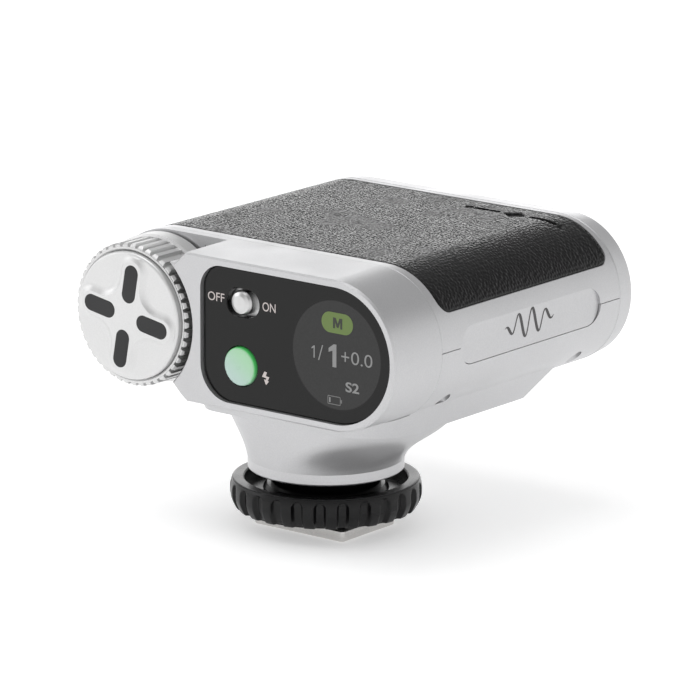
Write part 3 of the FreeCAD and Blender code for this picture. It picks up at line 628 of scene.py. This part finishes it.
def dial_pads():
    """Stadium outline r from its centre line; ring heights follow a quarter ellipse at the rim."""
    points, faces = [], []
    side = np.radians(np.linspace(-90, 90, 17))
    half_circle = np.stack([np.cos(side), np.sin(side)], -1)
    unit = np.concatenate([half_circle, -half_circle])
    straight = np.repeat([1.0, -1.0], 17) * 1.83
    roll = np.radians(np.linspace(0, 90, 7))
    radii = np.concatenate([[1.42], 1.42 - 0.16 * (1 - np.cos(roll)), [0.7, 0.15]])
    rise = np.concatenate([[-0.5], -0.14 * (1 - np.sin(roll)), [0.0, 0.0]])
    for quarter in range(4):
        start = sum(len(p) for p in points)
        x = 5.55 + straight[None, :] + radii[:, None] * unit[None, :, 0]
        z = radii[:, None] * unit[None, :, 1]
        x, z = rotated(x, z, CROSS_TURN + quarter * math.pi / 2)
        y = np.repeat((cap_low[1] - rise)[:, None], x.shape[1], 1)
        points.append(np.stack([DIAL_X + x, y, BODY_Z + z], -1).reshape(-1, 3))
        count = x.shape[1]
        faces += [f[::-1] for f in grid_faces(len(radii), count, close_columns=True, start=start)]
        faces.append(list(range(start, start + count)))
        faces.append(list(range(start + (len(radii) - 1) * count, start + len(radii) * count))[::-1])
    return np.concatenate(points), faces


pads = mesh_piece("dial_pad_inlays", *dial_pads(), PAD_RUBBER, "dial", "pad_black", 40)
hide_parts("dial_pads")

# %% [markdown]
# ## Lock ring
# The ring is moulded with scooped flutes for the fingers. The ribs between them have slightly rounded
# edges, which is what catches the light. So the outer wall is a height field on a turned profile: at
# every height and angle the radius is reduced by the depth of the flute there.

# %% Fluted ring
ring_low, ring_high = box_mm("lock_ring")
FLUTE_COUNT, FLUTE_DEPTH, FLUTE_HALF = 26, 0.72, 1.08


def lock_ring():
    """Radius = profile - depth x (1 - (arc / half width)^4) inside a flute; its upper end is a half circle."""
    z0, z1, rim = ring_low[2], ring_high[2], ring_high[0] + 0.02
    turns = FLUTE_COUNT * 30
    wall_z = np.linspace(z0 + 0.35, z1 - 0.25, 34)
    lower, upper = (5.6 - wall_z) / (5.6 - z0), (wall_z - 6.4) / (z1 - 6.4)
    wall_r = rim - 1.0 * lower.clip(0) ** 1.6 - 0.42 * upper.clip(0) ** 2
    shoulder = np.radians(np.linspace(15, 90, 6))
    top_r, top_z = wall_r[-1] - 0.42 * (1 - np.cos(shoulder)), wall_z[-1] + 0.25 * np.sin(shoulder)
    foot_r, foot_z = [10.27, 12.6, 12.6, 13.9, wall_r[0] - 0.25], [3.6, 3.6, z0, z0, z0 + 0.06]
    bore_r, bore_z = [13.5, 13.3, 13.3, 10.27], [z1, z1 - 0.2, 6.2, 6.2]
    rows_r = np.concatenate([foot_r, wall_r, top_r, bore_r])
    rows_z = np.concatenate([foot_z, wall_z, top_z, bore_z])
    angle = np.linspace(0, 2 * math.pi, turns, endpoint=False)
    pitch = 2 * math.pi / FLUTE_COUNT
    arc = np.abs((angle + pitch / 2) % pitch - pitch / 2) * rim
    up = ((rows_z - (z1 - 0.55 - FLUTE_HALF)) / FLUTE_HALF).clip(0, 1)
    half = FLUTE_HALF * np.sqrt(1 - up ** 2)[:, None] + 1e-6
    depth = FLUTE_DEPTH * ease((1 - (arc[None, :] / half) ** 2) / 0.75) * np.sqrt(1 - up ** 2)[:, None]
    outer = (rows_r > 14.0)[:, None]
    r = rows_r[:, None] - depth * outer
    points = np.stack([r * np.cos(angle), r * np.sin(angle), np.repeat(rows_z[:, None], turns, 1)], -1)
    rows = len(rows_r)
    faces = grid_faces(rows, turns, close_columns=True)
    k = np.arange(turns)
    last = (rows - 1) * turns
    faces += np.stack([last + k, last + (k + 1) % turns, (k + 1) % turns, k], -1).tolist()
    return points.reshape(-1, 3), faces


ring = mesh_piece("lock_ring_moulded", *lock_ring(), RING_BLACK, "ring", "ring_black", 35)
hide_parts("lock_ring")

# %% [markdown]
# ## Printed marks
# The marks on the glass are screen-printed ink, and the figures on the screen glow faintly behind it.
# Both lie almost in the plane of the glass, so each is a skin 0.02 mm thick standing on it. Letters
# come from the built-in font, made a mesh and scaled to the measured height; plain shapes are outlines
# written as points.

# %% Inks
def ink(name, code, glow=0.0):
    """Slightly uneven ink: colour varies by a few percent over 0.4 mm, the size of the screen's mesh."""
    made = finish(name, code, code, 0.35, 0.4, 0.001)
    tree = made.node_tree
    shader = node_of(tree, "ShaderNodeBsdfPrincipled")
    dark = tuple(0.88 * c for c in linear(code)[:3]) + (1.0,)
    node_of(tree, "ShaderNodeMix").inputs["A"].default_value = dark
    shader.inputs["Emission Color"].default_value = linear(code)
    shader.inputs["Emission Strength"].default_value = glow
    return made


INK_PINK = ink("screen_print_ink_warm_white", "#cfc5c3")
SCREEN_WHITE = ink("screen_figure_grey", "#858585", 0.10)
SCREEN_DIM = ink("screen_figure_dim", "#6a6a6a", 0.05)
SCREEN_GREEN = ink("screen_field_green", "#5f7538", 0.12)
SCREEN_DARK = ink("screen_figure_dark", "#2a2d24")

# %% Outlines, letters and skins
SKIN = 0.02


def in_plane(mesh, material, name):
    """Makes a finished mark's mesh an object and rides it on the body."""
    mesh.materials.clear()
    mesh.materials.append(material)
    made = bpy.data.objects.new(name, mesh)
    bpy.context.scene.collection.objects.link(made)
    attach(made, "body")
    return made


def letters(text, name, material, left, right, middle_z, height, weight=0.0):
    """Text as mesh: scaled so that its box is right-left wide and height tall, then stood on the glass."""
    curve = bpy.data.curves.new(name, "FONT")
    curve.body = text
    curve.offset = weight
    curve.extrude = 0.01
    holder = bpy.data.objects.new(name + "_curve", curve)
    bpy.context.scene.collection.objects.link(holder)
    bpy.context.view_layer.update()
    mesh = bpy.data.meshes.new_from_object(holder.evaluated_get(bpy.context.evaluated_depsgraph_get()))
    bpy.data.objects.remove(holder)
    mesh.name = name
    flat = np.empty(len(mesh.vertices) * 3)
    mesh.vertices.foreach_get("co", flat)
    p = flat.reshape(-1, 3)
    low, high = p.min(0), p.max(0)
    share = (p - low) / (high - low)
    y = GLASS_Y + SKIN * (0.5 - 1.5 * share[:, 2])
    placed = np.stack([left + share[:, 0] * (right - left), y, middle_z + (share[:, 1] - 0.5) * height], -1)
    mesh.vertices.foreach_set("co", (placed * MM).ravel())
    mesh.update()
    return in_plane(mesh, material, name)


def outline_skin(outline, name, material, inner=None, layer=0):
    """Closed outline in XZ given a thickness; inner makes it a frame, layer lifts it over another mark."""
    front, back = GLASS_Y - (layer + 1) * SKIN, GLASS_Y + 0.5 * SKIN
    n = len(outline)
    loops = [outline] if inner is None else [outline, inner]
    points = [(x, y, z) for loop in loops for y in (front, back) for x, z in loop]
    i = np.arange(n)
    k = (i + 1) % n
    faces = np.stack([i, i + n, k + n, k], -1).tolist()
    if inner is None:
        faces += [list(range(n)), list(range(2 * n - 1, n - 1, -1))]
    else:
        faces += np.stack([i + 2 * n, k + 2 * n, k + 3 * n, i + 3 * n], -1).tolist()
        faces += np.stack([i, k, k + 2 * n, i + 2 * n], -1).tolist()
        faces += np.stack([i + n, i + 3 * n, k + 3 * n, k + n], -1).tolist()
    return mesh_piece(name, np.array(points), faces, material, "body", "screen_grey", 30)


def rounded(x0, x1, z0, z1, r, steps=10):
    """Rounded rectangle as points, counter-clockwise seen from the user's side."""
    corners = [(x1 - r, z1 - r, 0), (x0 + r, z1 - r, 90), (x0 + r, z0 + r, 180), (x1 - r, z0 + r, 270)]
    points = []
    for cx, cz, start in corners:
        a = np.radians(start + np.linspace(0, 90, steps))
        points += np.stack([cx + r * np.cos(a), cz + r * np.sin(a)], -1).tolist()
    return points


# %% The marks themselves
letters("OFF", "mark_off", INK_PINK, -8.8, -5.42, 40.55, 1.42)
letters("ON", "mark_on", INK_PINK, 2.39, 5.03, 40.42, 1.45)
BOLT = [(0.50, 2.17), (1.02, 2.09), (0.78, 1.46), (1.51, 1.36), (1.16, 0.72), (1.43, 0.65), (0.82, 0.0),
        (0.42, 0.88), (0.71, 0.82), (0.93, 1.13), (0.0, 1.24)]
outline_skin([(2.26 + x, 27.68 + z) for x, z in reversed(BOLT)], "mark_bolt", INK_PINK)
outline_skin(rounded(14.3, 20.55, 38.32, 41.66, 1.66), "screen_mode_field", SCREEN_GREEN)
CAPITAL_M = [(0.0, 0.0), (0.0, 1.72), (0.54, 1.72), (0.92, 0.78), (1.30, 1.72), (1.84, 1.72), (1.84, 0.0),
             (1.45, 0.0), (1.45, 1.06), (1.09, 0.16), (0.75, 0.16), (0.39, 1.06), (0.39, 0.0)]
outline_skin([(16.60 + x, 39.12 + z) for x, z in reversed(CAPITAL_M)], "screen_mode", SCREEN_DARK, layer=1)
SMALL_ONE = [(0.40, 0.0), (0.40, 1.62), (0.0, 1.42), (0.0, 1.64), (0.46, 2.0), (0.63, 2.0), (0.63, 0.0)]
outline_skin([(12.31 + x, 33.72 + z) for x, z in reversed(SMALL_ONE)], "screen_power_part", SCREEN_WHITE)
SLASH = [(13.62, 33.50), (13.83, 33.50), (14.62, 36.00), (14.41, 36.00)]
outline_skin(SLASH, "screen_power_slash", SCREEN_WHITE)
LARGE_ONE = [(0.78, 0.0), (0.78, 2.62), (0.0, 2.32), (0.0, 2.94), (1.02, 3.7), (1.56, 3.7), (1.56, 0.0)]
outline_skin([(15.72 + x, 32.82 + z) for x, z in reversed(LARGE_ONE)], "screen_power", SCREEN_WHITE)
letters("+", "screen_step_sign", SCREEN_WHITE, 18.27, 19.82, 34.82, 1.6, weight=-0.006)
letters("0.0", "screen_step", SCREEN_WHITE, 20.22, 24.42, 34.85, 2.05, weight=-0.006)
letters("S2", "screen_slave", SCREEN_WHITE, 19.13, 21.83, 30.02, 1.62, weight=0.02)
outline_skin(rounded(15.54, 18.15, 26.72, 28.15, 0.2, 5), "screen_cell", SCREEN_DIM,
             inner=rounded(15.68, 18.01, 26.86, 28.01, 0.12, 5))
outline_skin(rounded(18.15, 18.42, 27.15, 27.72, 0.1, 5), "screen_cell_tip", SCREEN_DIM)
outline_skin(rounded(15.86, 16.12, 27.02, 27.85, 0.05, 5), "screen_cell_level", SCREEN_WHITE)

# %% [markdown]
# ## Side ornament
# The flat on the right side carries a dark printed flourish. It is a wave drawn with a broad pen: the
# stroke is thick where it falls and thin where it rises, and it narrows sharply at each end.

# %% Flourish on the side flat
FLOURISH_INK = ink("pad_print_ink_charcoal", "#3e3c3d")
TONGUE_X = 29.38


def flourish():
    """Ribbon along y = middle + 6.6 t, z = level + sin wave x (1 - t^2); half width grows on down strokes."""
    t = np.linspace(-1, 1, 301)
    y, z = 15.3 + 6.6 * t, 35.45 + 2.2 * np.sin(3.6 * math.pi * t + 0.4) * (1 - np.abs(t) ** 2.2)
    dy, dz = np.gradient(y), np.gradient(z)
    long = np.hypot(dy, dz)
    half = 0.12 + 0.20 * np.clip(-dz / long, 0, 1) ** 1.5
    half *= np.clip((1 - np.abs(t)) / 0.08, 0.15, 1)
    ny, nz = -dz / long * half, dy / long * half
    x0, x1 = TONGUE_X - 0.02, TONGUE_X + 0.03
    rings = [np.stack([np.full_like(t, x), y + s * ny, z + s * nz], -1) for x, s in
             ((x1, 1), (x1, -1), (x0, -1), (x0, 1))]
    points = np.stack(rings, 1).reshape(-1, 3)
    faces = grid_faces(len(t), 4, close_columns=True)
    faces += [[3, 2, 1, 0], list(range(4 * len(t) - 4, 4 * len(t)))]
    return points, faces


swash = mesh_piece("side_flourish", *flourish(), FLOURISH_INK, "body", "pad_black", 30)

# %% [markdown]
# ## Floor, light and camera
# The object stands on a light table, white acrylic lit from below, which stays pale under it and throws
# light up at its underside. The surroundings are a studio: bright low down and dimmer high up, between
# the lamps, which is what draws the soft grey gradients on the rounded shoulders.

# %% Light table
FLOOR_HALF = 3.0
floor_mesh = bpy.data.meshes.new("paper_floor")
floor_mesh.from_pydata([(x * FLOOR_HALF, y * FLOOR_HALF, 0) for x, y in ((-1, -1), (1, -1), (1, 1), (-1, 1))],
                       [], [(0, 1, 2, 3)])
ACRYLIC = finish("acrylic_light_table_white", "#f4f4f4", "#ededed", 0.9, 2.0, 0.01,
                 **{"Emission Color": (1.0, 1.0, 1.0, 1.0), "Emission Strength": 0.40})
floor_mesh.materials.append(ACRYLIC)
floor = bpy.data.objects.new("paper_floor", floor_mesh)
bpy.context.scene.collection.objects.link(floor)
floor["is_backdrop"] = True

# %% Studio surroundings
world = bpy.data.worlds.new("studio")
bpy.context.scene.world = world
world.use_nodes = True
sky = world.node_tree
sky.nodes.clear()
direction = add(sky, "ShaderNodeTexCoord")
height = add(sky, "ShaderNodeSeparateXYZ", {"Vector": direction.outputs["Generated"]})
ramp = add(sky, "ShaderNodeValToRGB", {"Fac": height.outputs["Z"]})
for place, level in ((0.0, 1.0), (0.26, 1.0), (0.50, 0.36), (0.8, 0.42), (1.0, 0.8)):
    stop = ramp.color_ramp.elements.new(place)
    stop.color = (level, level, level, 1)
ramp.color_ramp.elements.remove(ramp.color_ramp.elements[0])
ramp.color_ramp.elements.remove(ramp.color_ramp.elements[-1])
shine = add(sky, "ShaderNodeBackground", {"Color": ramp.outputs["Color"], "Strength": 1.0})
add(sky, "ShaderNodeOutputWorld", {"Surface": shine.outputs["Background"]})


# %% Lamps
def softbox(name, place, aim, size, power):
    """Square area lamp at place, turned so that its face looks at aim. Metres and watts."""
    lamp = bpy.data.lights.new(name, "AREA")
    lamp.size = size
    lamp.energy = power
    made = bpy.data.objects.new(name, lamp)
    made.location = place
    made.rotation_euler = (Vector(aim) - Vector(place)).to_track_quat("-Z", "Y").to_euler()
    bpy.context.scene.collection.objects.link(made)
    return made


AIM = Vector((-1.276, 7.804, 27.381)) * MM
softbox("overhead_softbox", (-0.3, -0.1, 1.2), AIM, 1.0, 4.2)
softbox("left_softbox", (-0.9, -0.5, 0.5), AIM, 0.6, 1.5)
softbox("back_softbox", (-1.0, 1.25, 0.30), AIM, 0.8, 2.4)

# %% [markdown]
# The camera stands almost a metre off, to the user's right and a little above, with a long lens, so
# that the body's edges stay nearly parallel.

# %% Camera
AZIMUTH, ELEVATION, ROLL, DISTANCE = 38.1, 14.2, 0.2, 879.48 * MM
FOCAL = 277.7
a, e = math.radians(AZIMUTH), math.radians(ELEVATION)
back = Vector((math.sin(a) * math.cos(e), -math.cos(a) * math.cos(e), math.sin(e)))
lens = bpy.data.cameras.new("portrait_lens")
lens.sensor_width = 36.0
lens.lens = FOCAL
lens.clip_start = 0.05
camera = bpy.data.objects.new("portrait_camera", lens)
turn = back.to_track_quat("Z", "Y").to_matrix().to_4x4()
roll = Matrix.Rotation(math.radians(ROLL), 4, "Z")
camera.matrix_world = Matrix.Translation(AIM + back * DISTANCE) @ turn @ roll
bpy.context.scene.collection.objects.link(camera)
bpy.context.scene.camera = camera
bpy.context.scene.view_settings.view_transform = "Standard"

# %% Sizes, and the end
shown_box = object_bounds()
change = [[round((b - a) / MM, 3) for a, b in zip(p, q)] for p, q in zip(cad_box, shown_box)]
print("size change, mm:", change)
